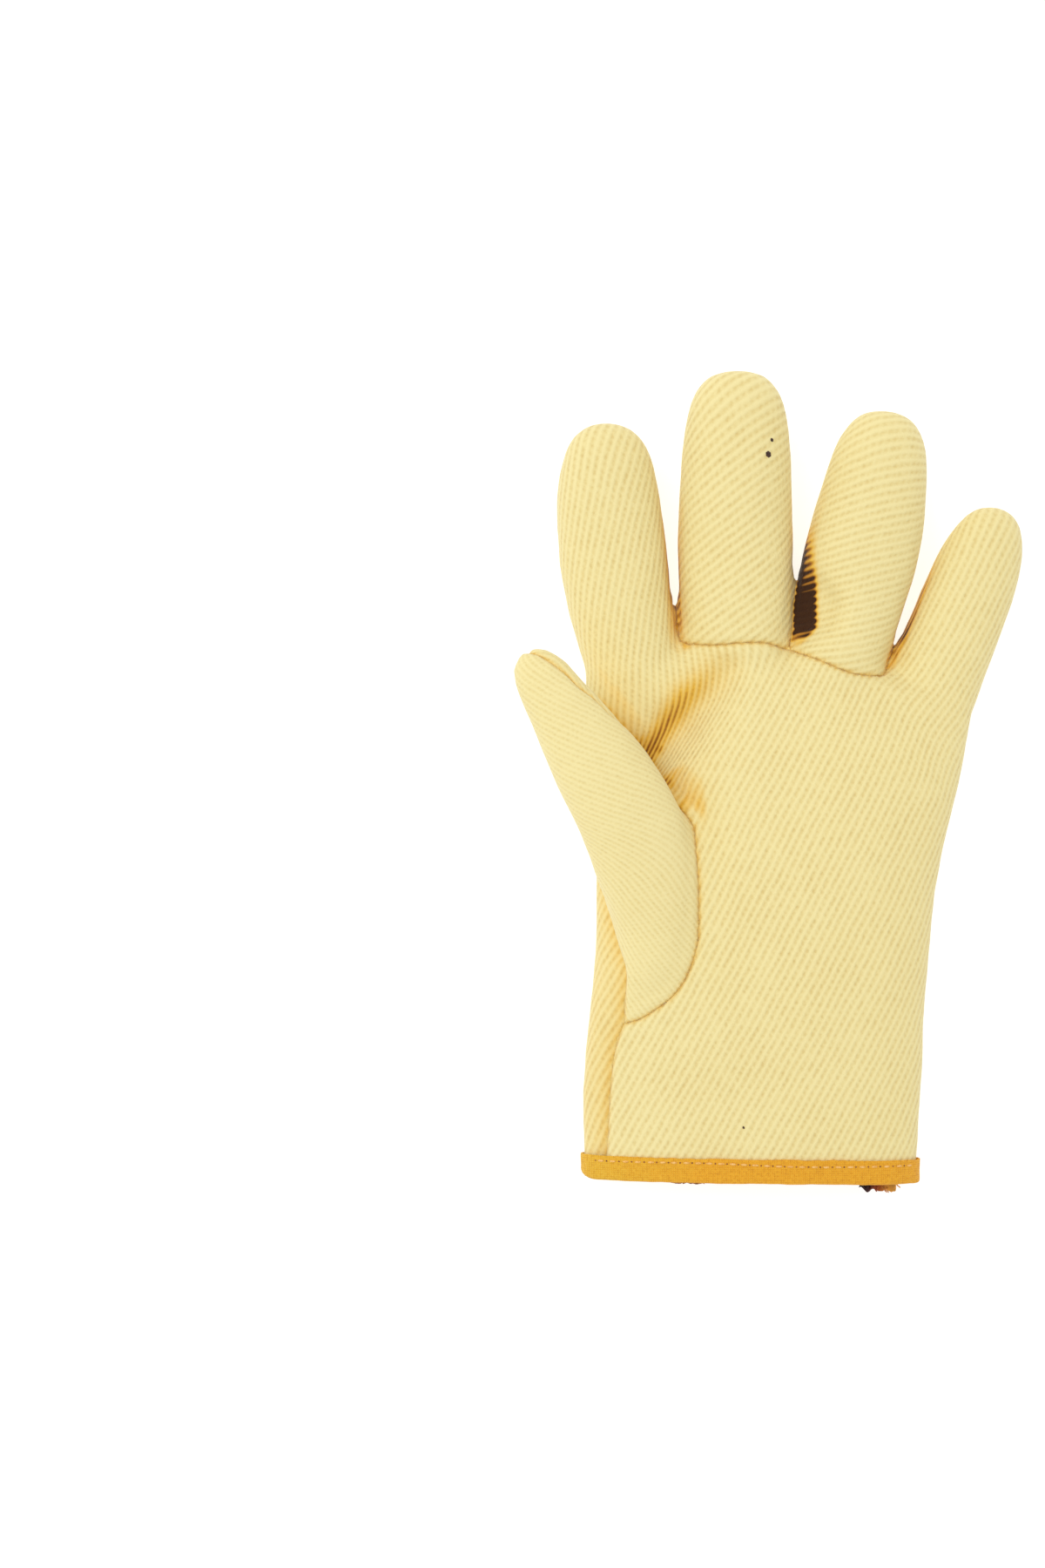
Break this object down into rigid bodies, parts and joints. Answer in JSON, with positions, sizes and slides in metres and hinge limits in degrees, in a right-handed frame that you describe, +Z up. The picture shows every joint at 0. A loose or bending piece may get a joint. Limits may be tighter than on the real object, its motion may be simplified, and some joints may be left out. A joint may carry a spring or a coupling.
{
  "type": "work glove",
  "caption": "Heat-resistant work glove for the left hand in thick twill, lying on its back with the palm up, open at a tape-bound cuff, with a set-in thumb.",
  "frame": {"origin": "on the floor under the middle of the glove's outline, as it lies on its back", "axes": "+X towards the little finger's side, +Y from the cuff to the fingertips, +Z up from the back of the hand to the palm"},
  "size_m": [0.176, 0.2826, 0.0551],
  "materials": {
    "twill": "matte",
    "tape": "matte"
  },
  "bodies": {
    "root": {"back_panel": "twill", "palm_panel": "twill", "middle_finger_front": "twill", "ring_finger_front": "twill", "thumb_shell": "twill", "thumb_gusset": "twill", "cuff_tape": "tape", "tape_end": "tape"}
  },
  "joints": []
}
